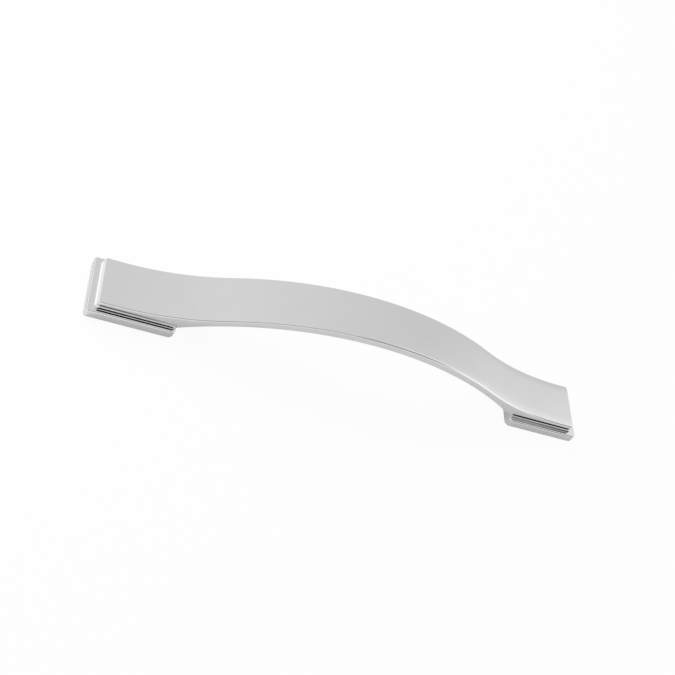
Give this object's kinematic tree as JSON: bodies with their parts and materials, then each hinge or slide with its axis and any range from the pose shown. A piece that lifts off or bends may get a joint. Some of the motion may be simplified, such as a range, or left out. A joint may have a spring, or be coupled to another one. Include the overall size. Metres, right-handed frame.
{
  "type": "bow cabinet pull",
  "caption": "Bow pull for a cabinet: a flat strap arches between stepped rectangular feet with blind screw holes, giving a grip that opens a drawer or a door.",
  "frame": {"origin": "midway between the feet, on the mounting face", "axes": "+X along the pull, +Y across the strap, +Z out of the cabinet front"},
  "size_m": [0.19, 0.0222, 0.0258],
  "materials": {
    "chrome": "polished chrome plate on cast zinc"
  },
  "bodies": {
    "root": {"pull": "chrome"}
  },
  "joints": []
}
